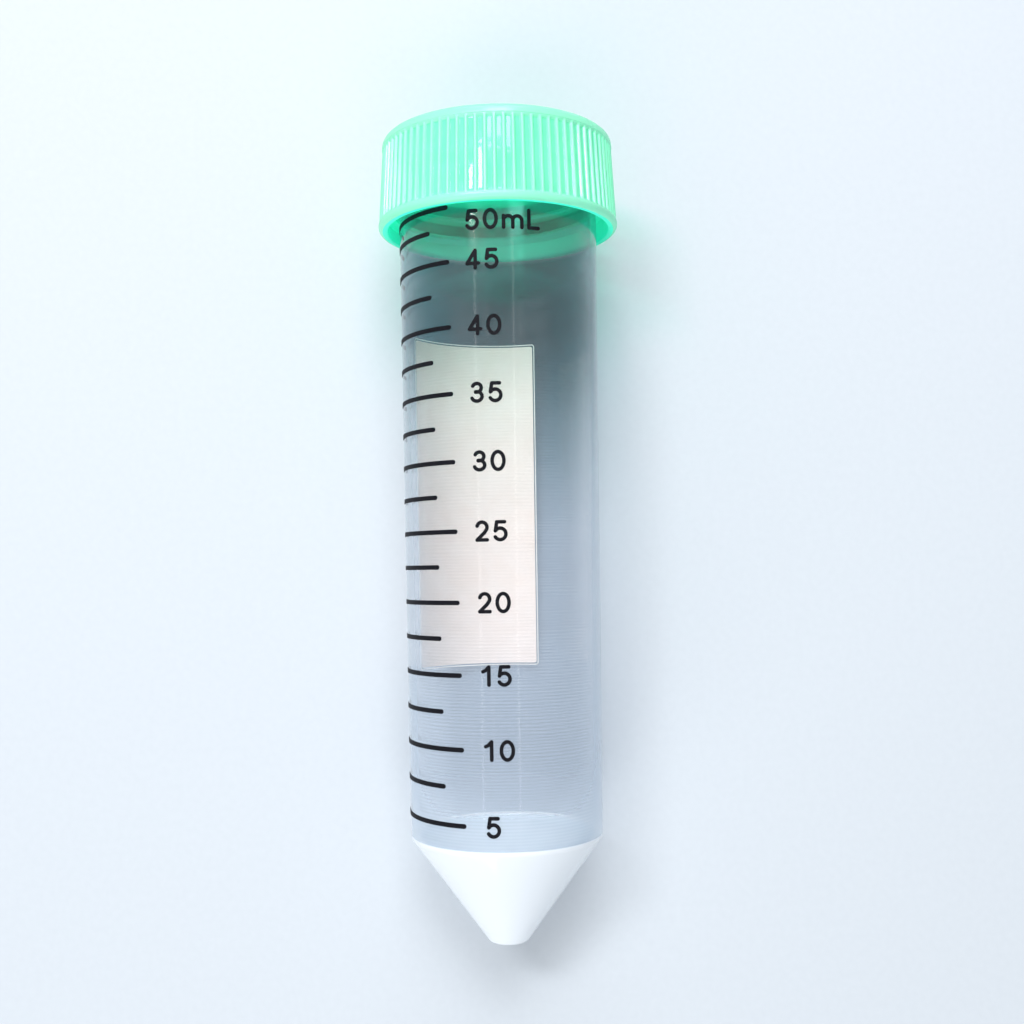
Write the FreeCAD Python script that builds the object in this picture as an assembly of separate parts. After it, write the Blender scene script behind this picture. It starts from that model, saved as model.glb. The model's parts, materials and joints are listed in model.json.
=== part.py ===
import FreeCAD, Part

import math
import os

# A 50 ml conical tube: a slightly tapered plastic tube that ends in a cone, closed by
# a ribbed screw cap, with a printed scale and a printed writing patch. Millimetres.
#
# Every piece is drawn upright about the tube's axis, where s is the height above the
# tip and r the distance from the axis, and all are laid down together at the end. The
# lying tube touches the ground at the cap's lower edge and at the shoulder above the
# cone, so its axis climbs a little towards the cap.
#
# Row frame: +Z up, +Y along the tube towards the cap, origin on the ground under the
# middle of the lying tube. Angles around the tube start at its upper side and grow
# towards +X.

# ---- tube -----------------------------------------------------------------------------
tube_length = 113.6         # tip to rim
cone_height = 15.06         # tip to the corner of cone and barrel
shoulder_r = 13.70          # outside radius at that corner
barrel_draft = 0.0071       # outside radius gained for each mm towards the rim
shoulder_round = 1.5
tip_r = 2.71                # outside radius of the blunt tip
tip_round = 1.1
shoulder_wall = 1.24        # wall of the barrel just above the cone
bore_draft = 0.0117         # bore radius gained for each mm, so the wall thins upwards
cone_wall = 1.2
tip_wall = 1.5
bore_shoulder_round = 1.0
bore_tip_round = 1.0
rim_round = 0.25

# ---- cap ------------------------------------------------------------------------------
cap_height = 13.25
cap_roof = 1.55
thread_room = 1.71          # from the neck to the skirt's bore, at the lower edge
skirt_wall = 1.4            # at the lower edge
skirt_draft = 0.055         # outside radius lost for each mm towards the roof
skirt_mouth_round = 0.25
cap_top_round = 1.0
cap_bottom_round = 0.7
lower_band = 0.9            # smooth band under the ribs
upper_band = 1.3            # smooth band over the ribs

rib_count = 82
rib_phase = -1.1            # angle of the first rib from the upper side, in degrees
rib_base = 0.64             # width at the root; the valleys take the rest of the pitch
rib_crest = 0.36            # width at the crest
rib_drop = 0.08             # crests under the surface of the bands
valley_depth = 0.34         # floors of the valleys under the crests
valley_gap = 0.13           # from a band's edge to where the valleys begin
valley_run_out = 0.35       # height over which a valley's floor climbs at each end

# ---- seal between cap and tube --------------------------------------------------------
rim_clearance = 0.05        # cap roof to rim
seal_clearance = 0.10       # seal ring to bore
seal_depth = 2.8
seal_wall = 0.9
seal_lead = 0.35            # narrowing of the ring towards its free edge

# ---- print ----------------------------------------------------------------------------
ink = 0.08                  # thickness of the print
stamp_reach = 1.0           # half the thickness of the block that outlines a print
line_width = 0.62
scale_first_ml = 5.0
scale_step_ml = 2.5
scale_base_ml = 3.18        # what the scale counts below the top of the cone
top_line_lead = 0.25        # the last line stands just inside the cap's lower edge
line_left_angle = -100.0
long_line_angle = -25.9     # angle of the right ends at mid scale
short_line_angle = -38.8
scale_skew = -0.061         # degrees the print drifts for each mm upwards
scale_mid_s = 60.0

patch_low_s = 38.2
patch_high_s = 87.9
patch_middle_angle = 201.0
patch_half_angle = 41.9
patch_round = 0.4

# ---- finish ---------------------------------------------------------------------------
smallest_arc = 1.05         # a rounding under this is turned as two straight cuts
tolerance = 1e-6            # lengths this close are the same

# ---- sizes that follow ----------------------------------------------------------------
cone_slope = (shoulder_r - tip_r) / cone_height
cone_angle = math.atan(cone_slope)
ceiling_s = tube_length + rim_clearance
cap_top_s = ceiling_s + cap_roof
cap_bottom_s = cap_top_s - cap_height
ribs_low_s = cap_bottom_s + lower_band
ribs_high_s = cap_top_s - upper_band

AXIS = FreeCAD.Vector(0, 0, 1)
ORIGIN = FreeCAD.Vector(0, 0, 0)


def barrel_r(s):
    """Outside radius of the barrel."""
    return shoulder_r + barrel_draft * (s - cone_height)


def bore_r(s):
    """Inside radius of the barrel."""
    return shoulder_r - shoulder_wall + bore_draft * (s - cone_height)


def bore_cone_r(s):
    """Inside radius of the cone, one cone wall in from the outside."""
    return tip_r + cone_slope * s - cone_wall / math.cos(cone_angle)


skirt_bore_r = barrel_r(cap_bottom_s) + thread_room


def skirt_r(s):
    """Outside radius of the cap's smooth bands."""
    return skirt_bore_r + skirt_wall - skirt_draft * (s - cap_bottom_s)


def crest_r(s):
    """Outside radius of the ribs' crests."""
    return skirt_r(s) - rib_drop


# ---- drawing tools --------------------------------------------------------------------
def rounding(before, corner, after, radius):
    """The tangent arc at a corner: where it starts, its middle, its end and its centre."""
    to_before = (before - corner).normalize()
    to_after = (after - corner).normalize()
    half_angle = to_before.getAngle(to_after) / 2
    reach = radius / math.tan(half_angle)
    inwards = (to_before + to_after).normalize()
    centre = corner + inwards * (radius / math.sin(half_angle))
    return corner + to_before * reach, centre - inwards * radius, corner + to_after * reach, centre


def corner_points(corners):
    """The corners (r, s, rounding) as points of the XZ plane."""
    return [FreeCAD.Vector(r, 0, s) for r, s, _ in corners]


def turned(corners):
    """Solid of revolution about the tube's axis from a closed outline of (r, s, rounding)."""
    points = corner_points(corners)
    edges = []
    starts, ends = [], []
    for i, (_, _, radius) in enumerate(corners):
        after = points[(i + 1) % len(points)]
        if radius == 0:
            start = end = points[i]
        else:
            start, middle, end, _ = rounding(points[i - 1], points[i], after, radius)
        if radius >= smallest_arc:
            edges.append(Part.Arc(start, middle, end).toShape())
        elif radius > 0:
            edges += [Part.makeLine(start, middle), Part.makeLine(middle, end)]
        starts.append(start)
        ends.append(end)
    for i, end in enumerate(ends):
        edges.append(Part.makeLine(end, starts[(i + 1) % len(starts)]))
    outline = Part.Wire(Part.__sortEdges__(edges))
    return Part.Face(outline).revolve(ORIGIN, AXIS, 360)


# ---- pieces ---------------------------------------------------------------------------
def tube_corners():
    """Outline of the tube's wall, from the tip up the outside and down the bore."""
    bore_at_zero = bore_r(0)
    cone_at_zero = bore_cone_r(0)
    bore_corner_s = (bore_at_zero - cone_at_zero) / (cone_slope - bore_draft)
    return [
        (0, 0, 0),
        (tip_r, 0, tip_round),
        (shoulder_r, cone_height, shoulder_round),
        (barrel_r(tube_length), tube_length, rim_round),
        (bore_r(tube_length), tube_length, rim_round),
        (bore_r(bore_corner_s), bore_corner_s, bore_shoulder_round),
        (bore_cone_r(tip_wall), tip_wall, bore_tip_round),
        (0, tip_wall, 0),
    ]


def cap_corners():
    """Outline of the cap's wall before its valleys are cut, from the roof down the outside
    and up inside."""
    seal_r = bore_r(tube_length) - seal_clearance
    seal_s = ceiling_s - seal_depth
    return [
        (0, cap_top_s, 0),
        (skirt_r(cap_top_s), cap_top_s, cap_top_round),
        (skirt_r(ribs_high_s), ribs_high_s, 0),
        (crest_r(ribs_high_s), ribs_high_s - rib_drop, 0),
        (crest_r(ribs_low_s), ribs_low_s + rib_drop, 0),
        (skirt_r(ribs_low_s), ribs_low_s, 0),
        (skirt_r(cap_bottom_s), cap_bottom_s, cap_bottom_round),
        (skirt_bore_r, cap_bottom_s, skirt_mouth_round),
        (skirt_bore_r, ceiling_s, 0),
        (seal_r, ceiling_s, 0),
        (seal_r - seal_lead, seal_s, 0),
        (seal_r - seal_wall, seal_s, 0),
        (seal_r - seal_wall, ceiling_s, 0),
        (0, ceiling_s, 0),
    ]


def valley_outline(share):
    """Outline of one valley of the grip, on the +X side, at a share of its depth over its
    floor: the sides and the ends lean outwards by straight lines."""
    low_s = ribs_low_s + valley_gap + valley_run_out * (1 - share)
    high_s = ribs_high_s - valley_gap - valley_run_out * (1 - share)
    pitch = 2 * math.pi * crest_r((low_s + high_s) / 2) / rib_count
    half_width = (pitch - rib_base + (rib_base - rib_crest) * share) / 2
    lift = valley_depth * (share - 1)
    low_left = FreeCAD.Vector(crest_r(low_s) + lift, -half_width, low_s)
    low_right = FreeCAD.Vector(crest_r(low_s) + lift, half_width, low_s)
    high_right = FreeCAD.Vector(crest_r(high_s) + lift, half_width, high_s)
    high_left = FreeCAD.Vector(crest_r(high_s) + lift, -half_width, high_s)
    return Part.makePolygon([low_left, low_right, high_right, high_left, low_left])


def around(shape, angle):
    """A copy of what is drawn at +X, turned to an angle around the tube."""
    return shape.rotated(ORIGIN, AXIS, angle - 90)


def make_cap():
    """The cap's turned body, with the valleys of its grip cut between the ribs."""
    past_crests = 2
    valley = Part.makeLoft([valley_outline(0), valley_outline(past_crests)], True, True)
    pitch_angle = 360 / rib_count
    first = rib_phase + pitch_angle / 2
    valleys = [around(valley, first + i * pitch_angle) for i in range(rib_count)]
    return turned(cap_corners()).cut(valleys).Solids[0]


def ink_layer():
    """The ink's full thickness all over the barrel, from which each print is taken."""
    low_s, high_s = cone_height + shoulder_round, tube_length
    film = Part.makePolygon([
        FreeCAD.Vector(barrel_r(low_s), 0, low_s),
        FreeCAD.Vector(barrel_r(low_s) + ink, 0, low_s),
        FreeCAD.Vector(barrel_r(high_s) + ink, 0, high_s),
        FreeCAD.Vector(barrel_r(high_s), 0, high_s),
        FreeCAD.Vector(barrel_r(low_s), 0, low_s),
    ])
    return Part.Face(film).revolve(ORIGIN, AXIS, 360)


def printed(low_s, high_s, start, end, radius):
    """A film of ink on the barrel between two heights and two angles, with its corners'
    rounding."""
    inside_r = barrel_r(low_s) - stamp_reach
    outside_r = barrel_r(high_s) + stamp_reach
    section = Part.makePolygon([
        FreeCAD.Vector(inside_r, 0, low_s),
        FreeCAD.Vector(outside_r, 0, low_s),
        FreeCAD.Vector(outside_r, 0, high_s),
        FreeCAD.Vector(inside_r, 0, high_s),
        FreeCAD.Vector(inside_r, 0, low_s),
    ])
    block = around(Part.Face(section), start).revolve(ORIGIN, AXIS, end - start)
    if radius > 0:
        depth = outside_r - inside_r
        corners = [edge for edge in block.Edges if abs(edge.Length - depth) < tolerance]
        block = block.makeFillet(radius, corners)
    return ink_layer().common(block).Solids[0]


def scale_s(volume_ml):
    """Height at which the tapered bore holds a volume.

    Above the cone the bore's radius grows evenly, so its volume is that of a cut cone:
    pi * (r^3 - r0^3) / (3 * draft), which is solved for r and then for the height."""
    r0 = bore_r(cone_height)
    volume = (volume_ml - scale_base_ml) * 1000
    r = (r0 ** 3 + 3 * bore_draft * volume / math.pi) ** (1 / 3)
    return cone_height + (r - r0) / bore_draft


def line_heights():
    """Heights of the scale's lines. The first that would stand well under the cap is pulled
    down to the cap's lower edge, and ends the scale."""
    top_s = cap_bottom_s + top_line_lead
    heights = [scale_s(scale_first_ml)]
    while heights[-1] < top_s:
        volume_ml = scale_first_ml + len(heights) * scale_step_ml
        heights.append(min(scale_s(volume_ml), top_s))
    return heights


def make_graduation_marks():
    """The scale's lines: long ones at every second step, where the numerals stand."""
    lines = []
    for step, s in enumerate(line_heights()):
        drift = scale_skew * (s - scale_mid_s)
        right = long_line_angle if step % 2 == 0 else short_line_angle
        half = line_width / 2
        lines.append(printed(s - half, s + half, line_left_angle + drift, right + drift, 0))
    return Part.makeCompound(lines)


def make_writing_patch():
    """The white field to write on, on the far side from the scale's numerals."""
    left = patch_middle_angle - patch_half_angle
    right = patch_middle_angle + patch_half_angle
    return printed(patch_low_s, patch_high_s, left, right, patch_round)


# ---- laying it down -------------------------------------------------------------------
def resting_slope():
    """Climb of the axis, in radians, when the shoulder and the cap's lower edge both touch.

    The ground passes through the point where the skirt ends and its lower edge's first cut
    begins, and touches the circle of the shoulder's rounding."""
    tube = corner_points(tube_corners())
    cap = corner_points(cap_corners())
    shoulder = rounding(tube[1], tube[2], tube[3], shoulder_round)[3]
    edge = rounding(cap[5], cap[6], cap[7], cap_bottom_round)[0]
    between = edge - shoulder
    return math.atan2(between.x, between.z) - math.asin(shoulder_round / between.Length)


def laid_down(pieces):
    """All pieces in the row frame, lying on the ground and centred along Y."""
    lying = FreeCAD.Rotation(FreeCAD.Vector(1, 0, 0), math.degrees(resting_slope()) - 90)
    turned_down = FreeCAD.Placement(ORIGIN, lying)
    box = Part.makeCompound(list(pieces.values())).transformed(turned_down.toMatrix())
    box = box.optimalBoundingBox(False, False)
    shift = FreeCAD.Vector(0, -(box.YMin + box.YMax) / 2, -box.ZMin)
    place = FreeCAD.Placement(shift, lying).toMatrix()
    return {name: piece.transformed(place) for name, piece in pieces.items()}


pieces = {
    "tube": turned(tube_corners()),
    "cap": make_cap(),
    "graduation_marks": make_graduation_marks(),
    "writing_patch": make_writing_patch(),
}

os.makedirs("parts", exist_ok=True)
for name, piece in laid_down(pieces).items():
    piece.exportStep(f"parts/{name}.step")
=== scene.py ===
"""Looks of a 50 ml conical tube with a ribbed screw cap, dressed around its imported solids.

Shapes are worked out in tube coordinates: an angle around the tube, counted from its upper
side towards +X, a radius and a height above the tip, all in millimetres and degrees. The
function placed() turns them into the row frame, in metres."""

import json
import math

import bpy
import numpy as np
from mathutils import Matrix, Vector


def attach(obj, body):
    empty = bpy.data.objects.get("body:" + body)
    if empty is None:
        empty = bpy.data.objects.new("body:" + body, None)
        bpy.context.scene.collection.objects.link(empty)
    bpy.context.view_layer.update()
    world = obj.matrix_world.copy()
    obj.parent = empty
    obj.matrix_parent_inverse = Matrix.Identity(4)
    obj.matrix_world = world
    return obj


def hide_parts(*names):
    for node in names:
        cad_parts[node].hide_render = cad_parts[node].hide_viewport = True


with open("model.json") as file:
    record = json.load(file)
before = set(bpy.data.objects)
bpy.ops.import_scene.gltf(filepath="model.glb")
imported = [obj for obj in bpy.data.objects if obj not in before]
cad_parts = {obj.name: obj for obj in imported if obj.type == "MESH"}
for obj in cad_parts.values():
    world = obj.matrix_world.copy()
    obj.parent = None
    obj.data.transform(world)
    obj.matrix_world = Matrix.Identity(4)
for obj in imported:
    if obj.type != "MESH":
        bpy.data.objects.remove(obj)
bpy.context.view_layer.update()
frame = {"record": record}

# ---- sizes, the same as the solids' (mm) ----------------------------------------------
TUBE_LENGTH = 113.6
CONE_HEIGHT = 15.06
SHOULDER_R = 13.70
BARREL_DRAFT = 0.0071
SHOULDER_ROUND = 1.5
TIP_R = 2.71
TIP_ROUND = 1.1
SHOULDER_WALL = 1.24
BORE_DRAFT = 0.0117
CONE_WALL = 1.2
TIP_WALL = 1.5
BORE_ROUND = 1.0
RIM_ROUND = 0.25

CAP_HEIGHT = 13.25
CAP_ROOF = 1.55
SKIRT_WALL = 1.4
SKIRT_DRAFT = 0.055
THREAD_ROOM = 1.71
CAP_TOP_ROUND = 1.0
CAP_BOTTOM_ROUND = 0.7
MOUTH_ROUND = 0.25
LOWER_BAND = 0.9            # smooth band under the ribs
UPPER_BAND = 1.3            # smooth band over the ribs
RIB_COUNT = 82
RIB_PHASE = -1.1            # angle of the first rib
RIB_BASE = 0.64
RIB_CREST = 0.36
RIB_DROP = 0.08             # how far the crests lie under the bands
VALLEY_DEPTH = 0.34
VALLEY_GAP = 0.13           # between a valley's end and its band
VALLEY_RUN = 0.50           # length over which a valley's end gets shallow
VALLEY_LEAD = 0.04          # by which that run starts early, so that its soft foot fits
GRIP_R = 17.0               # radius at which the ribs' widths are given
RIM_CLEARANCE = 0.05
SEAL_CLEARANCE = 0.10
SEAL_DEPTH = 2.8
SEAL_WALL = 0.9
SEAL_LEAD = 0.35
SEAL_ROUND = 0.2

CEILING_S = TUBE_LENGTH + RIM_CLEARANCE
CAP_TOP_S = CEILING_S + CAP_ROOF
CAP_BOTTOM_S = CAP_TOP_S - CAP_HEIGHT
CONE_SLOPE = (SHOULDER_R - TIP_R) / CONE_HEIGHT

MM = 0.001
INK = 0.08                  # print stands this far over the wall
INK_ROOT = 0.02             # and reaches this far into it

# ---- threads and print (mm and degrees) -----------------------------------------------
THREAD_PITCH = 3.0
THREAD_SINK = 0.1           # a thread's root reaches this far into its wall
NECK_MIDDLE_S = 105
NECK_THREAD_S = 104.6       # where the threads start, and the radius of their crests
NECK_THREAD_R = 15.5
CAP_THREAD_S = 103.6
CAP_THREAD_R = 14.95

CONE_VOLUME = 3.18          # ml under the barrel's foot
TOP_LINE_LEAD = 0.25        # the last line stands just inside the cap's lower edge
LINE_WIDTH = 0.62
LINE_LEFT = -100.0          # angles of the lines' ends at mid scale
LONG_RIGHT = -25.9
SHORT_RIGHT = -38.8
SCALE_SKEW = -0.061         # degrees the lines drift for each mm upwards
SCALE_MID_S = 60

SIGN_STROKE = 0.49
SIGN_HEIGHT = 2.38
SIGN_GAP = 0.99
SIGN_LEFT = -15.2           # angle of the numbers' left side at a height of SIGN_MID_S
SIGN_SKEW = -0.086          # degrees it drifts for each mm upwards, up to SIGN_SKEW_TOP_S
SIGN_MID_S = 58
SIGN_SKEW_TOP_S = 94
TOP_SIGN_DROP = 2.1         # the last number stands under its line, clear of the cap

PATCH_LOW = 38.35           # a little inside the solid's ends, so that the border fits
PATCH_HIGH = 87.65
PATCH_MIDDLE = 201.0        # angle of the field's middle, and half its width in degrees
PATCH_HALF = 41.9
PATCH_ROUND = 0.4
BORDER_AWAY = 0.26          # from the field's edge to the middle of its border line
BORDER_WIDTH = 0.15
BORDER_LIFT = 0.05

# ---- place of the tube in the row frame -----------------------------------------------
cap_top = next(mount for mount in frame["record"]["mounts"] if mount["name"] == "cap_top")
SIDE = np.array([1.0, 0.0, 0.0])
ALONG = np.array(cap_top["axis"]) / np.linalg.norm(cap_top["axis"])
OVER = np.cross(SIDE, ALONG)
TIP = np.array(cap_top["pos_m"]) - ALONG * CAP_TOP_S * MM


def placed(angle, radius, height):
    """Points in metres: tip + radius * (side * sin(angle) + over * cos(angle)) + along * height."""
    angle, radius, height = np.broadcast_arrays(np.radians(angle), radius, height)
    across = SIDE * (radius * np.sin(angle))[..., None]
    upwards = OVER * (radius * np.cos(angle))[..., None]
    return TIP + (across + upwards + ALONG * height[..., None]) * MM


def barrel_r(s):
    """Outside radius of the barrel: it grows evenly with the height."""
    return SHOULDER_R + BARREL_DRAFT * (s - CONE_HEIGHT)


def bore_r(s):
    """Inside radius of the barrel: it grows a little faster, so the wall thins upwards."""
    return SHOULDER_R - SHOULDER_WALL + BORE_DRAFT * (s - CONE_HEIGHT)


SKIRT_BORE_R = barrel_r(CAP_BOTTOM_S) + THREAD_ROOM


def skirt_r(s):
    """Outside radius of the cap's bands: it falls evenly towards the roof."""
    return SKIRT_BORE_R + SKIRT_WALL - SKIRT_DRAFT * (s - CAP_BOTTOM_S)


# ---- mesh tools -----------------------------------------------------------------------
def grid_faces(rows, columns, closed_rows=False, closed_columns=False):
    """Quads between the points of a grid, numbered row by row; a closed way joins its ends."""
    i = np.arange(rows if closed_rows else rows - 1)[:, None]
    j = np.arange(columns if closed_columns else columns - 1)[None, :]
    next_i, next_j = (i + 1) % rows, (j + 1) % columns
    here, above = i * columns, next_i * columns
    corners = np.broadcast_arrays(here + j, here + next_j, above + next_j, above + j)
    return np.stack(corners, -1).reshape(-1, 4)


def between_poles(points):
    """A closed skin from a grid whose first and last rows each lie in one point: its points,
    and its faces as arrays of quads and of triangles."""
    rows, columns = points.shape[:2]
    inner = points[1:-1].reshape(-1, 3)
    quads = grid_faces(rows - 2, columns, closed_columns=True)
    here = np.arange(columns)
    after = (here + 1) % columns
    first, last = np.full(columns, len(inner)), np.full(columns, len(inner) + 1)
    end = (rows - 3) * columns
    fans = np.stack([first, after, here, last, end + here, end + after], -1).reshape(-1, 3)
    return np.vstack([inner, points[0, :1], points[-1, :1]]), [quads, fans]


def pole_values(values):
    """Values of a grid's points, in the order in which between_poles() gives the points."""
    return np.concatenate([values[1:-1].ravel(), [values[0, 0], values[-1, 0]]]).astype(float)


def sweep(rings, closed=False):
    """A closed skin around a row of rings; an open row gets its end faces."""
    rows, columns = rings.shape[:2]
    faces = [grid_faces(rows, columns, closed_rows=closed, closed_columns=True)]
    if not closed:
        ring = np.arange(columns)[None, :]
        faces += [ring, (rows - 1) * columns + ring[:, ::-1]]
    return rings.reshape(-1, 3), faces


def outwards(points, faces):
    """The faces, turned round if they enclose a negative volume: the sum of the triple
    products of the triangles that fan out from each face's first corner."""
    centred = points - points.mean(0)
    volume = 0.0
    for group in faces:
        for k in range(1, group.shape[1] - 1):
            a, b, c = centred[group[:, 0]], centred[group[:, k]], centred[group[:, k + 1]]
            volume += np.einsum("ij,ij->", a, np.cross(b, c))
    return [group[:, ::-1] for group in faces] if volume < 0 else faces


def piece(name, skins, material, body, sharp=35.0):
    """One object made of closed skins, shaded smooth between edges sharper than an angle."""
    points, faces, start = [], [], 0
    for skin_points, skin_faces in skins:
        for group in outwards(skin_points, skin_faces):
            faces += (group + start).tolist()
        points.append(skin_points)
        start += len(skin_points)
    mesh = bpy.data.meshes.new(name)
    mesh.from_pydata(np.vstack(points).tolist(), [], faces)
    mesh.polygons.foreach_set("use_smooth", np.ones(len(faces), bool))
    mesh.set_sharp_from_angle(angle=math.radians(sharp))
    mesh.materials.append(material)
    made = bpy.data.objects.new(name, mesh)
    bpy.context.scene.collection.objects.link(made)
    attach(made, body)
    return made


def mark(made, name, values):
    """A value for each point of a piece, which its material reads by its name."""
    made.data.attributes.new(name, "FLOAT", "POINT").data.foreach_set("value", values)


def mark_all(made, name):
    """The value 1 for every point of a piece."""
    mark(made, name, np.ones(len(made.data.vertices)))


def outline(corners, arc_steps=8, longest=4.0):
    """Points along an open outline of corners (r, s, rounding): straight stretches cut into
    equal steps, and at each rounded corner an arc tangent to both sides."""
    corner = np.array([c[:2] for c in corners], float)
    stops = [[corner[0]]]
    for before, here, after, (_, _, radius) in zip(corner, corner[1:], corner[2:], corners[1:-1]):
        if radius == 0:
            stops.append([here])
            continue
        to_before = (before - here) / np.linalg.norm(before - here)
        to_after = (after - here) / np.linalg.norm(after - here)
        half = math.acos(np.dot(to_before, to_after)) / 2
        middle = (to_before + to_after) / np.linalg.norm(to_before + to_after)
        centre = here + middle * radius / math.sin(half)
        start = here + to_before * radius / math.tan(half) - centre
        end = here + to_after * radius / math.tan(half) - centre
        turn = math.pi - 2 * half
        t = np.linspace(0, 1, arc_steps + 1)[:, None]
        bend = np.sin((1 - t) * turn) * start + np.sin(t * turn) * end
        stops.append(centre + bend / math.sin(turn))
    stops.append([corner[-1]])
    points = []
    for here, after in zip(stops, stops[1:]):
        points += list(here)
        stretch = after[0] - here[-1]
        cuts = int(np.linalg.norm(stretch) / longest)
        points += [here[-1] + stretch * k / (cuts + 1) for k in range(1, cuts + 1)]
    points += list(stops[-1])
    return np.array(points)


# ---- nodes ----------------------------------------------------------------------------
class Nodes:
    """A short way to write a material's node tree."""

    def __init__(self, name):
        self.material = bpy.data.materials.new(name)
        self.material.use_nodes = True
        self.tree = self.material.node_tree
        self.tree.nodes.clear()

    def add(self, kind, inputs=None, **settings):
        """A node with its settings, and its inputs set to values or linked to sockets."""
        node = self.tree.nodes.new(kind)
        for key, value in settings.items():
            setattr(node, key, value)
        for key, value in (inputs or {}).items():
            if isinstance(value, bpy.types.NodeSocket):
                self.tree.links.new(value, node.inputs[key])
            else:
                node.inputs[key].default_value = value
        return node

    def math(self, operation, a, b=0.0, clamp=False):
        """One step of arithmetic."""
        inputs = {0: a, 1: b}
        return self.add("ShaderNodeMath", inputs, operation=operation, use_clamp=clamp).outputs[0]

    def product(self, first, *others):
        """Values multiplied one after another."""
        for other in others:
            first = self.math("MULTIPLY", first, other)
        return first

    def total(self, first, *others):
        """Values added one after another."""
        for other in others:
            first = self.math("ADD", first, other)
        return first

    def between(self, value, low, high, at_low=0.0, at_high=1.0):
        """A value eased from at_low to at_high while the input goes from low to high."""
        inputs = {
            "Value": value, "From Min": low, "From Max": high, "To Min": at_low, "To Max": at_high,
        }
        return self.add("ShaderNodeMapRange", inputs, interpolation_type="SMOOTHSTEP").outputs[0]

    def mix(self, share, first, second):
        """A colour between two, by the share of the second."""
        inputs = {0: share, 6: first, 7: second}
        return self.add("ShaderNodeMix", inputs, data_type="RGBA").outputs[2]

    def blend(self, share, first, second):
        """A shader between two, by the share of the second."""
        return self.add("ShaderNodeMixShader", {0: share, 1: first, 2: second}).outputs[0]

    def attribute(self, name):
        """A value that the mesh's points carry."""
        return self.add("ShaderNodeAttribute", attribute_name=name).outputs["Fac"]

    def tube_place(self):
        """The place in tube coordinates, in mm: across the tube, along it and over it."""
        turn = Matrix((SIDE, ALONG, OVER))
        return self.add("ShaderNodeMapping", {
            "Vector": self.add("ShaderNodeTexCoord").outputs["Object"],
            "Location": (turn @ Vector(-TIP)) / MM,
            "Rotation": turn.to_euler(),
            "Scale": (1 / MM, 1 / MM, 1 / MM),
        }).outputs[0]

    def noise(self, vector, scale, detail=2.0):
        """Smooth noise over a vector."""
        inputs = {"Vector": vector, "Scale": scale, "Detail": detail, "Roughness": 0.5}
        return self.add("ShaderNodeTexNoise", inputs).outputs[0]

    def bump(self, height, strength, distance):
        """A normal bent by a height; the distance is in metres."""
        inputs = {"Height": height, "Strength": strength, "Distance": distance}
        return self.add("ShaderNodeBump", inputs).outputs[0]

    def seen(self):
        """1 on the rays of the eye, of reflections and of see-through looks, 0 on the rest."""
        ray = self.add("ShaderNodeLightPath").outputs
        looks = self.math("MAXIMUM", ray["Is Glossy Ray"], ray["Is Transmission Ray"])
        return self.math("MAXIMUM", ray["Is Camera Ray"], looks)

    def finish(self, shader):
        """Links the shader to the output and gives back the material."""
        self.add("ShaderNodeOutputMaterial", {"Surface": shader})
        return self.material


RING_TURN = 14.2            # radians by which the rings' sine goes on for each mm
RING_WANDER = 9.0           # and the radians by which noise shifts it


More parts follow.
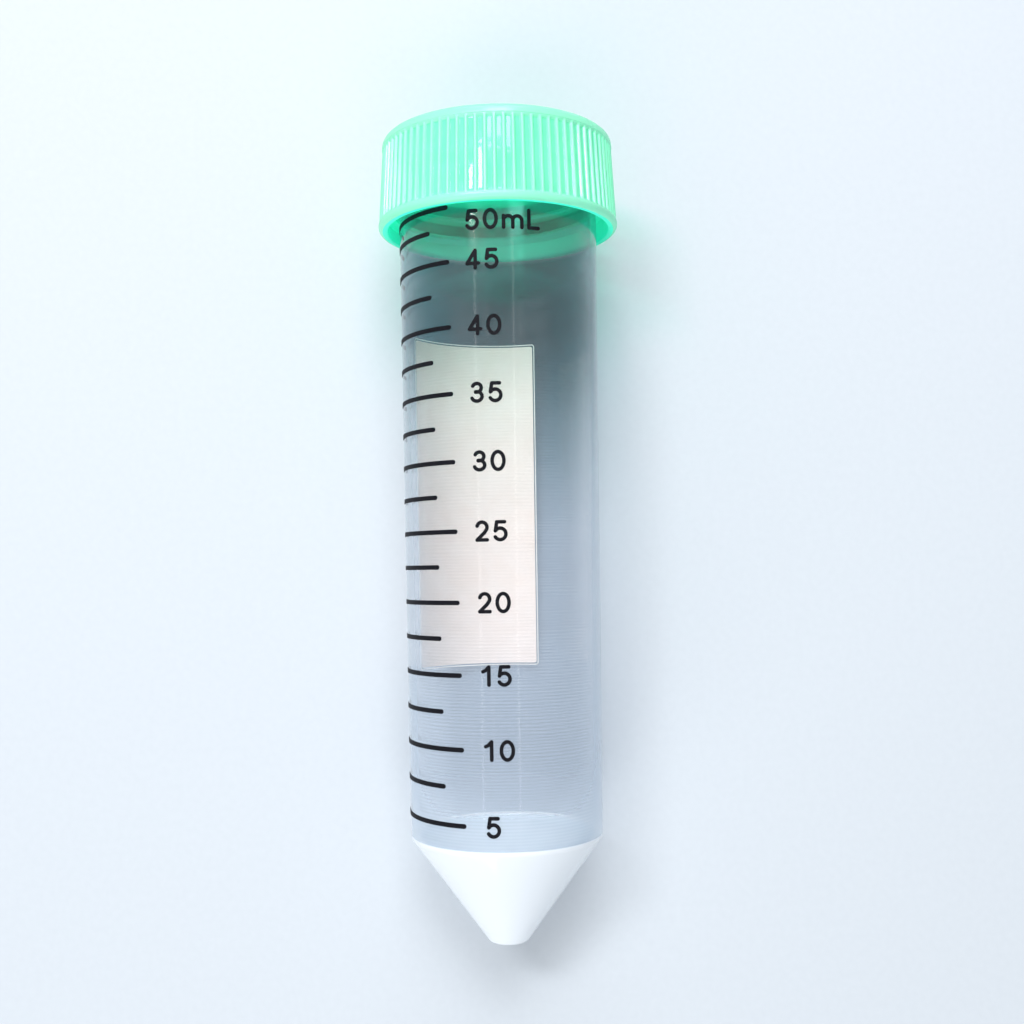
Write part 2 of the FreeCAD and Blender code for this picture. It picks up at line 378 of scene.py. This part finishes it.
def tube_plastic():
    """Milky see-through plastic: a clear wall with a tint, a haze and a gloss over all. The
    haze thickens at a glancing view, towards the cone and most of all in it. Low on the barrel
    it is thicker, partly for the thicker wall and partly as painted light, and up the barrel
    towards the cap it thins as painted shade. A band of full haze at the shoulder's rounding is
    a painted highlight. The tint lies on the outside, and on the outside's halves it is painted
    shade: bluish on the lower half and deep teal there towards the cap, a grey band on the
    upper half under the cap, and clear at the neck. The bore is clearer. Fine rings, a sine of the
    height, darken the outside's tint and stir its haze; they fade on the cone, up the barrel,
    under the cap and at a glancing view."""
    n = Nodes("milky_polypropylene")
    place = n.tube_place()
    parts = n.add("ShaderNodeSeparateXYZ", {0: place}).outputs
    height, over = parts["Y"], parts["Z"]
    bore_side = n.attribute("bore_side")
    grazing = n.add("ShaderNodeLayerWeight", {"Blend": 0.5}).outputs["Facing"]

    def by_side(at_outside, at_bore):
        return n.between(bore_side, 0.4, 0.6, at_outside, at_bore)

    outside = by_side(1.0, 0.0)
    cone = n.between(height, 15.3, 15.6, 1.0, 0.0)
    # a narrow band at the shoulder's rounding, made fully milky below: a painted highlight
    shoulder_highlight_band = n.product(cone, n.between(height, 14.45, 14.7))

    # The rings.
    wander = n.add("ShaderNodeTexNoise", {
        "W": height, "Scale": 0.25, "Detail": 2.0,
    }, noise_dimensions="1D").outputs[0]
    phase = n.total(n.product(height, RING_TURN), n.product(wander, RING_WANDER))
    ring_strength = n.product(
        n.between(height, 14.0, 30.0, 0.25, 1.0),
        n.between(height, 34.0, 50.0, 1.0, 0.4),
        n.between(height, 96.0, 90.0),
        n.between(grazing, 0.40, 0.72, 1.0, 0.0),
    )
    ripple = n.product(n.math("SINE", phase), ring_strength)

    # The haze: a little everywhere, more at a glancing view, low on the barrel (partly painted
    # light) and at the shoulder, uneven by rings and clouds, thinning up the barrel towards the cap
    # (painted shade), thin at the neck and thick in the cone, with a painted highlight band at the
    # shoulder's rounding.
    clouds = n.math("SUBTRACT", n.noise(place, 0.12), 0.5)
    stirred = n.total(n.product(ripple, 0.03), n.product(clouds, 0.05))
    haze = n.total(
        # falling from 60 to 90 mm here and in the next line: painted shade towards the cap
        n.product(by_side(0.05, 0.02), n.between(height, 60.0, 90.0, 1.0, 0.5)),
        n.product(n.math("POWER", grazing, 3.0), n.between(height, 60.0, 90.0, 0.40, 0.14)),
        # more haze low on the barrel: partly its thicker wall, partly painted light
        n.product(n.between(height, 15.0, 62.0, 0.12, 0.0), n.total(outside, 0.2)),
        n.product(n.between(height, 15.4, 27.0, 0.14, 0.0), outside),
        n.product(stirred, n.product(outside, n.between(cone, 0.0, 1.0, 1.0, 0.3))),
    )
    haze = n.product(haze, n.between(height, 95.0, 100.0, 1.0, 0.2))
    haze = n.total(haze, n.product(cone, by_side(0.80, 0.66)))
    # full haze on that band: a painted highlight
    haze = n.math("ADD", haze, n.product(shoulder_highlight_band, 0.3), clamp=True)

    # The tint: painted shade, bluish on the lower half and deep teal there towards the cap, a grey
    # band on the upper half under the cap, clear at the neck under the cap.
    painted_shade_over = n.product(n.between(height, 72.0, 89.0), n.between(height, 95.5, 89.0))
    painted_shade_under = n.product(n.between(height, 56.0, 90.0), n.between(height, 102.5, 100.5))
    upper_tint_and_shade = n.mix(painted_shade_over, (0.995, 0.985, 0.985, 1), (0.69, 0.69, 0.69, 1))
    underside_shade = n.mix(painted_shade_under, (0.79, 0.86, 0.94, 1), (0.09, 0.30, 0.35, 1))
    neck_share = n.between(height, 100.5, 102.5)
    underside_shade = n.mix(neck_share, underside_shade, (0.97, 1.0, 0.985, 1))
    skin = n.mix(n.between(over, 5.0, -5.0), upper_tint_and_shade, underside_shade)
    tint = n.mix(outside, (0.995, 0.995, 0.995, 1), skin)
    edge_share = n.product(n.math("POWER", grazing, 4.0), outside)
    tint = n.mix(edge_share, tint, (0.46, 0.55, 0.62, 1))
    grooves = n.total(n.product(ripple, outside, 0.065), 0.975)
    tint = n.add("ShaderNodeVectorMath", {0: tint, 3: grooves}, operation="SCALE").outputs[0]

    clear = n.add("ShaderNodeBsdfTransparent", {"Color": tint}).outputs[0]
    cone_milk = n.mix(outside, (0.62, 0.72, 0.82, 1), (0.89, 0.93, 0.97, 1))
    milky = n.mix(cone, (0.78, 0.87, 0.97, 1), cone_milk)
    front = n.add("ShaderNodeBsdfDiffuse", {"Color": milky}).outputs[0]
    through = n.add("ShaderNodeBsdfTranslucent", {"Color": milky}).outputs[0]
    body = n.blend(haze, clear, n.blend(0.2, front, through))
    gloss = n.add("ShaderNodeBsdfGlossy", {
        "Color": (1, 1, 1, 1),
        "Roughness": 0.10,
        "Normal": n.bump(ripple, n.between(grazing, 0.1, 0.4, 0.3, 0.0), 0.000004),
    }).outputs[0]
    mirrored = n.total(n.product(n.math("POWER", grazing, 5.0), 0.9), 0.04)
    return n.finish(n.blend(n.product(mirrored, by_side(1.0, 0.5)), body, gloss))


def cap_plastic():
    """Glossy mint-green plastic. Some light passes into it. Its hollow side has a deeper, brighter
    green, a painted glow of the light caught inside, and the ribs' crests are paler, a painted
    sheen, and duller than the valleys. The lamps' own rays pass the wall and take on its colour."""
    n = Nodes("mint_polyethylene")
    place = n.tube_place()
    bore_side = n.attribute("bore_side")
    rise = n.attribute("rise")
    cloudy = n.noise(place, 0.25, 3.0)
    valley = n.mix(n.between(cloudy, 0.3, 0.7), (0.20, 0.74, 0.50, 1), (0.25, 0.78, 0.55, 1))
    # paler crests: a painted sheen on the ribs
    mint = n.mix(n.between(rise, 0.0, 0.45), valley, (0.36, 0.84, 0.63, 1))
    # the hollow side's brighter, deeper green: a painted glow of the light caught inside
    tint = n.mix(n.between(bore_side, 0.4, 0.6), mint, (0.12, 0.94, 0.80, 1))
    polish = n.between(cloudy, 0.3, 0.7, 0.03, 0.06)
    solid = n.add("ShaderNodeBsdfPrincipled", {
        "Base Color": tint,
        "Roughness": n.between(rise, 0.2, 0.8, polish, 0.22),
        "IOR": 1.5,
        "Normal": n.bump(n.noise(place, 0.5), 1.0, 0.000016),
    }).outputs[0]
    glow = n.add("ShaderNodeBsdfTranslucent", {"Color": tint}).outputs[0]
    wall = n.blend(n.between(bore_side, 0.4, 0.6, 0.30, 0.55), solid, glow)
    passed = n.add("ShaderNodeBsdfTransparent", {"Color": (0.45, 0.90, 0.81, 1)}).outputs[0]
    lamp_ray = n.add("ShaderNodeLightPath").outputs["Is Shadow Ray"]
    return n.finish(n.blend(lamp_ray, wall, passed))


def scale_ink():
    """Black printing ink, a little uneven, with a dull shine."""
    n = Nodes("black_ink")
    specks = n.noise(n.tube_place(), 6.0, 4.0)
    tint = n.mix(n.between(specks, 0.35, 0.75), (0.003, 0.003, 0.005, 1), (0.012, 0.012, 0.016, 1))
    return n.finish(n.add("ShaderNodeBsdfPrincipled", {
        "Base Color": tint,
        "Roughness": 0.55,
        "Specular IOR Level": 0.08,
        "Normal": n.bump(specks, 0.2, 0.00002),
    }).outputs[0])


def patch_ink(name, low, high):
    """Matt white ink to write on, with faint clouds from a low to a high tone and a few grey
    specks."""
    n = Nodes(name)
    place = n.tube_place()
    base = n.mix(n.between(n.noise(place, 0.35, 3.0), 0.3, 0.7), low, high)
    specks = n.between(n.noise(place, 2.2), 0.76, 0.82, 0.0, 0.6)
    tint = n.mix(specks, base, (0.45, 0.43, 0.42, 1))
    return n.finish(n.add("ShaderNodeBsdfPrincipled", {
        "Base Color": tint,
        "Roughness": 0.7,
        "Normal": n.bump(n.noise(place, 8.0, 3.0), 0.15, 0.00002),
    }).outputs[0])


# ---- tube -----------------------------------------------------------------------------
def tube_skin(columns=288):
    """The wall turned about the axis: up the outside from the tip, over the rim and down the
    bore to its floor, with every corner rounded."""
    cone_at_zero = TIP_R - CONE_WALL * math.hypot(1, CONE_SLOPE)
    corner_s = (bore_r(0) - cone_at_zero) / (CONE_SLOPE - BORE_DRAFT)
    profile = outline([
        (0, 0, 0),
        (TIP_R, 0, TIP_ROUND),
        (SHOULDER_R, CONE_HEIGHT, SHOULDER_ROUND),
        (barrel_r(TUBE_LENGTH), TUBE_LENGTH, RIM_ROUND),
        (bore_r(TUBE_LENGTH), TUBE_LENGTH, RIM_ROUND),
        (bore_r(corner_s), corner_s, BORE_ROUND),
        (cone_at_zero + CONE_SLOPE * TIP_WALL, TIP_WALL, BORE_ROUND),
        (0, TIP_WALL, 0),
    ])
    angle = np.arange(columns) * 360 / columns
    into_bore = int(np.argmax(profile[:, 1])) + 4       # part of the way round the rim
    bore_side = np.arange(len(profile))[:, None] > np.full(columns, into_bore)
    skin = between_poles(placed(angle[None, :], profile[:, :1], profile[:, 1:]))
    return skin, pole_values(bore_side)


def eased(t):
    """A step from 0 to 1 with soft ends: 3 t squared less 2 t cubed."""
    t = np.clip(t, 0, 1)
    return t * t * (3 - 2 * t)


def thread_skin(root_r, crest_r, start_s, turns, foot, crest, steps=96):
    """A thread ridge along a right-handed helix: a section with sloping flanks between its
    root and crest radii, as wide as its foot and its crest say, carried round while it climbs
    by its pitch, and run out over an eighth of a turn at both ends."""
    t = np.linspace(0, 1, int(turns * steps) + 1)[:, None]
    fade = 0.04 + 0.96 * eased(np.minimum(t, 1 - t) * turns * 8)
    outward = np.array([0, 0, 0.75, 1, 1, 0.75])[None, :]
    shoulder, top = crest * 1.15, crest * 0.6
    along = np.array([-foot, foot, shoulder, top, -top, -shoulder])[None, :] / 2
    radius = root_r + (crest_r - root_r) * outward * fade
    height = start_s + THREAD_PITCH * turns * t + along
    return sweep(placed(-360 * turns * t, radius, height))


# ---- cap ------------------------------------------------------------------------------
def rib_columns():
    """Angles round the cap, closer together on the flanks of each rib, and the offset from the
    rib's middle as a share of the pitch."""
    flank = np.array([0.08, 0.125, 0.165, 0.205, 0.245, 0.2825, 0.305])
    offsets = np.concatenate([[0], flank, [0.5], 1 - flank[::-1]])
    pitch = 360 / RIB_COUNT
    angle = RIB_PHASE + pitch * (np.arange(RIB_COUNT)[:, None] + offsets[None, :])
    share = np.minimum(offsets, 1 - offsets)
    return angle.ravel(), np.tile(share, RIB_COUNT)


def cap_skin():
    """The cap's wall turned about the axis, with its ribs: between the bands the surface sinks
    by the valley's depth, times a step up each flank of a rib and a step at each valley's end."""
    seal_r = bore_r(TUBE_LENGTH) - SEAL_CLEARANCE
    ribs_low, ribs_high = CAP_BOTTOM_S + LOWER_BAND, CAP_TOP_S - UPPER_BAND
    marks = VALLEY_RUN * np.append(np.linspace(0, 1, 9), 1.12)      # the last is on the floor
    low_rows = ribs_low + VALLEY_GAP - VALLEY_LEAD + marks
    high_rows = ribs_high - VALLEY_GAP + VALLEY_LEAD - marks
    grip = [(skirt_r(s) - RIB_DROP, s, 0) for s in np.append(high_rows, low_rows[::-1])]
    profile = outline([
        (0, CAP_TOP_S, 0),
        (skirt_r(CAP_TOP_S), CAP_TOP_S, CAP_TOP_ROUND),
        (skirt_r(ribs_high), ribs_high, 0),
        (skirt_r(ribs_high) - RIB_DROP, ribs_high - RIB_DROP, 0),
    ] + grip + [
        (skirt_r(ribs_low) - RIB_DROP, ribs_low + RIB_DROP, 0),
        (skirt_r(ribs_low), ribs_low, 0),
        (skirt_r(CAP_BOTTOM_S), CAP_BOTTOM_S, CAP_BOTTOM_ROUND),
        (SKIRT_BORE_R, CAP_BOTTOM_S, MOUTH_ROUND),
        (SKIRT_BORE_R, CEILING_S, 0),
        (seal_r, CEILING_S, 0),
        (seal_r - SEAL_LEAD, CEILING_S - SEAL_DEPTH, SEAL_ROUND),
        (seal_r - SEAL_WALL, CEILING_S - SEAL_DEPTH, SEAL_ROUND),
        (seal_r - SEAL_WALL, CEILING_S, 0),
        (0, CEILING_S, 0),
    ], arc_steps=5, longest=4.5)
    r, s = profile[:, :1], profile[:, 1:]
    outer = r > SKIRT_BORE_R + 0.3
    on_grip = outer & (s >= low_rows[0] - 1e-6) & (s <= high_rows[0] + 1e-6)
    angle, share = rib_columns()
    pitch_mm = 2 * math.pi * GRIP_R / RIB_COUNT
    crest_half, base_half = RIB_CREST / 2 / pitch_mm, RIB_BASE / 2 / pitch_mm
    # A soft step has flat ends, so it starts inside the crest and stops outside the base.
    starts, stops = 0.6 * crest_half, 1.15 * base_half
    flank = eased((share - starts) / (stops - starts))
    end = eased((s - low_rows[0]) / VALLEY_RUN) * eased((high_rows[0] - s) / VALLEY_RUN)
    sunk = on_grip * end * flank[None, :]
    skin = between_poles(placed(angle[None, :], r - VALLEY_DEPTH * sunk, s))
    lower_edge = np.flatnonzero(profile[:, 1] == CAP_BOTTOM_S)[0]
    bore_side = np.arange(len(profile))[:, None] >= np.full(len(angle), lower_edge)
    return skin, pole_values(bore_side), pole_values(1 - sunk)


# ---- print ----------------------------------------------------------------------------
def film(path, width, closed=False, lift=INK):
    """A film of ink along a path of (angle, height): a flat section of an even width, with
    half-round ends, that stands on the barrel and reaches a little into it."""
    path = np.asarray(path, float)
    arc_mm = np.radians(1) * barrel_r(path[:, 1])
    flat = np.stack([path[:, 0] * arc_mm, path[:, 1]], -1)
    half = np.full(len(flat), width / 2)
    if closed:
        tangent = np.roll(flat, -1, 0) - np.roll(flat, 1, 0)
    else:
        turn = np.radians([80, 66, 50, 33, 16])         # stops round a half-round end
        first = (flat[0] - flat[1]) / np.linalg.norm(flat[0] - flat[1])
        last = (flat[-1] - flat[-2]) / np.linalg.norm(flat[-1] - flat[-2])
        reach, taper = width / 2 * np.sin(turn)[:, None], width / 2 * np.cos(turn)
        tangent = np.gradient(flat, axis=0)
        stops = (len(turn), 1)
        tangent = np.vstack([np.tile(-first, stops), tangent, np.tile(last, stops)])
        flat = np.vstack([flat[0] + first * reach, flat, flat[-1] + last * reach[::-1]])
        half = np.concatenate([taper, half, taper[::-1]])
    tangent /= np.linalg.norm(tangent, axis=1, keepdims=True)
    across = np.stack([-tangent[:, 1], tangent[:, 0]], -1) * half[:, None]
    sides = np.stack([flat + across, flat + across, flat - across, flat - across], 1)
    lifts = np.array([-INK_ROOT, lift, lift, -INK_ROOT])[None, :]
    s = sides[..., 1]
    angle = sides[..., 0] / (np.radians(1) * barrel_r(s))
    return sweep(placed(angle, barrel_r(s) + lifts, s), closed)


def scale_heights():
    """Heights of the scale's lines: each is where the tapered bore holds its volume, and the
    last is set just inside the cap's lower edge."""
    r0 = bore_r(CONE_HEIGHT)
    volume = (np.arange(5.0, 50.1, 2.5) - CONE_VOLUME) * 1000
    r = (r0 ** 3 + 3 * BORE_DRAFT * volume / math.pi) ** (1 / 3)
    heights = CONE_HEIGHT + (r - r0) / BORE_DRAFT
    heights[-1] = CAP_BOTTOM_S + TOP_LINE_LEAD
    return heights


def scale_lines():
    """The scale's lines, long and short by turns, each a round-ended stroke along the barrel."""
    skins = []
    for step, s in enumerate(scale_heights()):
        drift = SCALE_SKEW * (s - SCALE_MID_S)
        end_inset = math.degrees(LINE_WIDTH / 2 / barrel_r(s))
        right = LONG_RIGHT if step % 2 == 0 else SHORT_RIGHT
        angle = np.linspace(LINE_LEFT + drift + end_inset, right + drift - end_inset, 40)
        skins.append(film(np.stack([angle, np.full_like(angle, s)], -1), LINE_WIDTH))
    return skins


def arc(x, y, rx, ry, start, end, steps=20):
    """Points of an elliptical arc between two angles."""
    t = np.radians(np.linspace(start, end, steps))
    return np.stack([x + rx * np.cos(t), y + ry * np.sin(t)], -1)


def line(*points):
    """Points of a straight run or of several, close enough to bend over the barrel."""
    points = np.array(points, float)
    t = np.linspace(0, 1, 9)[:, None]
    return np.vstack([a + (b - a) * t for a, b in zip(points, points[1:])])


def joined(*runs):
    """One path from runs that meet end to end, without the doubled points."""
    path = np.vstack(runs)
    keep = np.ones(len(path), bool)
    keep[1:] = np.linalg.norm(np.diff(path, axis=0), axis=1) > 1e-6
    return path[keep]


# Each sign: its width and its strokes, for a height of 1 between the middles of its strokes.
SIGNS = {
    "0": (0.66, [arc(0.33, 0.5, 0.33, 0.5, 0, 360, 49)[:-1]]),
    "1": (0.50, [line((0.37, 0), (0.37, 1)), line((0.04, 0.74), (0.18, 0.80), (0.37, 1))]),
    "2": (0.58, [
        joined(
            arc(0.29, 0.71, 0.285, 0.29, 165, -25),
            line((0.548, 0.587), (0.42, 0.40), (0.0, 0.0)),
        ),
        line((0.0, 0.0), (0.58, 0.0)),
    ]),
    "3": (0.60, [
        joined(arc(0.29, 0.755, 0.26, 0.245, 155, -90), line((0.29, 0.51), (0.22, 0.51))),
        joined(line((0.22, 0.53), (0.29, 0.53)), arc(0.29, 0.265, 0.30, 0.265, 90, -160)),
    ]),
    "4": (0.66, [
        line((0.48, 0), (0.48, 1)),
        line((0.48, 1), (0.0, 0.27)),
        line((0.0, 0.27), (0.66, 0.27)),
    ]),
    "5": (0.64, [
        line((0.13, 1.0), (0.57, 1.0)),
        line((0.13, 1.0), (0.05, 0.50)),
        joined(line((0.05, 0.50), (0.12, 0.57)), arc(0.315, 0.325, 0.32, 0.325, 128, -150, 28)),
    ]),
    "m": (1.05, [
        line((0, 0), (0, 0.65)),
        joined(arc(0.2625, 0.39, 0.2625, 0.26, 180, 0), line((0.525, 0.39), (0.525, 0))),
        joined(arc(0.7875, 0.39, 0.2625, 0.26, 180, 0), line((1.05, 0.39), (1.05, 0))),
    ]),
    "L": (0.55, [line((0, 1), (0, 0)), line((0, 0), (0.55, 0))]),
}


def numerals():
    """The numbers beside the long lines, written with round-ended strokes on the barrel. The
    last one also says the unit."""
    skins = []
    long_lines = scale_heights()[::2]
    for step, s in enumerate(long_lines):
        last = step == len(long_lines) - 1
        text = "50mL" if last else str(5 * (step + 1))
        middle = s - TOP_SIGN_DROP if last else s
        left = SIGN_LEFT + SIGN_SKEW * (min(middle, SIGN_SKEW_TOP_S) - SIGN_MID_S)
        x = SIGN_STROKE / 2
        for sign in text:
            width, strokes = SIGNS[sign]
            for path in strokes:
                height = middle + (path[:, 1] - 0.5) * SIGN_HEIGHT
                mm = x + path[:, 0] * SIGN_HEIGHT
                angle = left + mm / (np.radians(1) * barrel_r(height))
                skins.append(film(np.stack([angle, height], -1), SIGN_STROKE, closed=sign == "0"))
            x += width * SIGN_HEIGHT + SIGN_GAP
    return skins


def patch_skin():
    """The white field: rows across the barrel whose half width shrinks by a quarter circle
    towards the lower and the upper edge, a film with an outer and an inner face."""
    t = np.radians(np.linspace(0, 88, 10))
    corner_s = PATCH_ROUND * (1 - np.cos(t))
    corner_inset = PATCH_ROUND * (1 - np.sin(t))
    straight = np.linspace(PATCH_LOW, PATCH_HIGH, 26)[2:-2]
    s = np.concatenate([PATCH_LOW + corner_s, straight, (PATCH_HIGH - corner_s)[::-1]])
    trim = np.concatenate([corner_inset, np.zeros(len(straight)), corner_inset[::-1]])
    half = PATCH_HALF - np.degrees(trim / barrel_r(s))
    columns = 73
    share = np.linspace(-1, 1, columns)
    share = np.concatenate([share, share[::-1]])
    lift = np.repeat([INK, -INK_ROOT], columns)
    angle = PATCH_MIDDLE + half[:, None] * share[None, :]
    return sweep(placed(angle, barrel_r(s)[:, None] + lift[None, :], s[:, None]))


def patch_border():
    """A thin line round the field, a little outside it: four quarter bends and the straight
    runs between them."""
    middle_r = barrel_r((PATCH_LOW + PATCH_HIGH) / 2)
    half = PATCH_HALF + np.degrees(BORDER_AWAY / middle_r)
    low, high = PATCH_LOW - BORDER_AWAY, PATCH_HIGH + BORDER_AWAY
    rx, ry = np.degrees(PATCH_ROUND / middle_r), PATCH_ROUND
    left, right = PATCH_MIDDLE - half, PATCH_MIDDLE + half
    centres = [
        (right - rx, low + ry), (right - rx, high - ry),
        (left + rx, high - ry), (left + rx, low + ry),
    ]
    bends = [arc(x, y, rx, ry, 90 * k - 90, 90 * k, 9) for k, (x, y) in enumerate(centres)]
    runs = []
    for bend, after, steps in zip(bends, bends[1:] + bends[:1], (24, 40, 24, 40)):
        runs += [bend, np.linspace(bend[-1], after[0], steps)]
    return film(joined(*runs)[:-1], BORDER_WIDTH, closed=True, lift=BORDER_LIFT)


# ---- the pieces -----------------------------------------------------------------------
plastic = tube_plastic()
mint = cap_plastic()
black = scale_ink()
white = patch_ink("white_ink", (0.97, 0.85, 0.79, 1), (0.995, 0.89, 0.84, 1))
border_white = patch_ink("border_ink", (0.90, 0.90, 0.88, 1), (0.95, 0.95, 0.94, 1))

tube_wall, tube_bore_side = tube_skin()
tube = piece("tube_wall", [tube_wall], plastic, "tube_body")
mark(tube, "bore_side", tube_bore_side)
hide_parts("tube")
neck_thread = thread_skin(
    root_r=barrel_r(NECK_MIDDLE_S) - THREAD_SINK, crest_r=NECK_THREAD_R, start_s=NECK_THREAD_S,
    turns=2.1, foot=1.7, crest=0.7,
)
ridge = piece("neck_thread", [neck_thread], plastic, "tube_body")
mark_all(ridge, "bore_side")

cap_wall, cap_bore_side, cap_rise = cap_skin()
cap = piece("screw_cap", [cap_wall], mint, "cap_body")
mark(cap, "bore_side", cap_bore_side)
mark(cap, "rise", cap_rise)
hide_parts("cap")
cap_thread = thread_skin(
    root_r=SKIRT_BORE_R + THREAD_SINK, crest_r=CAP_THREAD_R, start_s=CAP_THREAD_S,
    turns=2.3, foot=1.6, crest=0.6,
)
spiral = piece("cap_thread", [cap_thread], mint, "cap_body")
mark_all(spiral, "bore_side")

lines = piece("scale_lines", scale_lines(), black, "tube_body")
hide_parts("graduation_marks")
piece("scale_numerals", numerals(), black, "tube_body")

patch = piece("white_field", [patch_skin()], white, "tube_body")
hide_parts("writing_patch")
piece("white_field_border", [patch_border()], border_white, "tube_body")


# ---- floor, light and camera ----------------------------------------------------------
BACKDROP = (0.72, 0.78, 0.84, 1)
FLOOR_REACH = 3.0                   # metres from the tube to the sheet's edges
FADE_START, FADE_END = 0.20, 0.60   # metres from the tube

ACROSS, LENGTHWAYS = (1, 0, 0), (0, 1, 0)
CAP_AIM = (0, 0.05, 0.03)

CAMERA_TURNS = (                    # radians, from looking straight down on the tube
    ("Y", -0.0087954), ("X", 0.0445356), ("Z", -0.0160177),
)
CAMERA_ALONG, CAMERA_OVER, CAMERA_SIDE = 53.26, 176.74, -0.16      # mm from the tube's tip
CAMERA_SENSOR, CAMERA_LENS = 36.0, 42.92                            # mm


def floor():
    """A plain pale sheet under everything. Far from the tube it fades, for the eye and for
    reflections alone, into the even tone of the room."""
    n = Nodes("floor_paper")
    place = n.add("ShaderNodeTexCoord").outputs["Object"]
    grain = n.noise(place, 900.0, 2.0)
    tint = n.mix(grain, (0.54, 0.585, 0.635, 1), (0.57, 0.615, 0.665, 1))
    paper = n.add("ShaderNodeBsdfPrincipled", {"Base Color": tint, "Roughness": 0.9}).outputs[0]
    away = n.add("ShaderNodeVectorMath", {0: place}, operation="LENGTH").outputs["Value"]
    backdrop = n.add("ShaderNodeEmission", {"Color": BACKDROP}).outputs[0]
    share = n.product(n.between(away, FADE_START, FADE_END), n.seen())
    sheet = n.blend(share, paper, backdrop)
    mesh = bpy.data.meshes.new("floor")
    signs = ((-1, -1), (1, -1), (1, 1), (-1, 1))
    corners = [(x * FLOOR_REACH, y * FLOOR_REACH, 0) for x, y in signs]
    mesh.from_pydata(corners, [], [[0, 1, 2, 3]])
    mesh.materials.append(n.finish(sheet))
    made = bpy.data.objects.new("floor", mesh)
    bpy.context.scene.collection.objects.link(made)


def lamp(name, place, target, along, size, power):
    """A soft lamp at a place, turned to a target, whose first side runs along a direction."""
    data = bpy.data.lights.new(name, "AREA")
    data.shape = "RECTANGLE"
    data.size, data.size_y = size
    data.energy = power
    made = bpy.data.objects.new(name, data)
    bpy.context.scene.collection.objects.link(made)
    back = (Vector(place) - Vector(target)).normalized()
    up = back.cross(Vector(along)).normalized()
    turn = Matrix((up.cross(back), up, back)).transposed()
    made.matrix_world = Matrix.Translation(place) @ turn.to_4x4()
    made.visible_camera = False


def surroundings():
    """An even, pale room: its light is weaker than the tone that the eye and reflections see."""
    world = bpy.data.worlds.new("room")
    bpy.context.scene.world = world
    world.use_nodes = True
    tree = world.node_tree
    light = tree.nodes["Background"]
    light.inputs["Color"].default_value = (0.92, 0.96, 1.0, 1)
    light.inputs["Strength"].default_value = 0.35
    tone = tree.nodes.new("ShaderNodeBackground")
    tone.inputs["Color"].default_value = BACKDROP
    ray = tree.nodes.new("ShaderNodeLightPath").outputs
    seen = ray["Is Camera Ray"]
    for kind in ("Is Glossy Ray", "Is Transmission Ray"):
        either = tree.nodes.new("ShaderNodeMath")
        either.operation = "MAXIMUM"
        tree.links.new(seen, either.inputs[0])
        tree.links.new(ray[kind], either.inputs[1])
        seen = either.outputs[0]
    mixed = tree.nodes.new("ShaderNodeMixShader")
    tree.links.new(seen, mixed.inputs[0])
    tree.links.new(light.outputs[0], mixed.inputs[1])
    tree.links.new(tone.outputs[0], mixed.inputs[2])
    tree.links.new(mixed.outputs[0], tree.nodes["World Output"].inputs["Surface"])


def camera():
    """A camera above the tube, looking down on it almost square to its axis."""
    local = Matrix.Identity(3)
    for axis, angle in CAMERA_TURNS:
        local = local @ Matrix.Rotation(angle, 3, axis)
    turned = Matrix((SIDE, ALONG, OVER)).transposed() @ local
    data = bpy.data.cameras.new("camera")
    data.sensor_width, data.lens = CAMERA_SENSOR, CAMERA_LENS
    data.clip_start = 0.01
    made = bpy.data.objects.new("camera", data)
    bpy.context.scene.collection.objects.link(made)
    place = TIP + (ALONG * CAMERA_ALONG + OVER * CAMERA_OVER + SIDE * CAMERA_SIDE) * MM
    made.matrix_world = Matrix.Translation(place) @ turned.to_4x4()
    bpy.context.scene.camera = made


floor()
surroundings()
lamp("window_left", (-0.205, 0.216, 0.50), CAP_AIM, ACROSS, (0.17, 0.080), 1.15)
lamp("window_right", (0.02, 0.350, 0.50), CAP_AIM, ACROSS, (0.22, 0.18), 1.40)
lamp("window_sill", (0.01, 0.200, 0.50), CAP_AIM, ACROSS, (0.26, 0.035), 0.35)
lamp("top_side", (0.0, 0.62, 0.34), CAP_AIM, ACROSS, (0.40, 0.08), 1.15)
lamp("strip_left", (-0.30, 0.0, 0.60), (0, 0, 0), LENGTHWAYS, (0.50, 0.012), 0.05)
lamp("strip_right", (0.165, 0.0, 0.60), (0, 0, 0), LENGTHWAYS, (0.50, 0.012), 0.04)
lamp("fill", (-0.02, -0.45, 0.58), (0, -0.02, 0.01), ACROSS, (0.60, 0.25), 1.8)
lamp("tip_side", (-0.38, -0.50, 0.35), (0, -0.04, 0.01), ACROSS, (0.4, 0.3), 1.0)
lamp("tip_wall", (-0.38, -0.70, 0.10), (0, -0.05, 0.01), ACROSS, (0.60, 0.16), 0.9)
camera()
bpy.context.scene.view_settings.view_transform = "Standard"
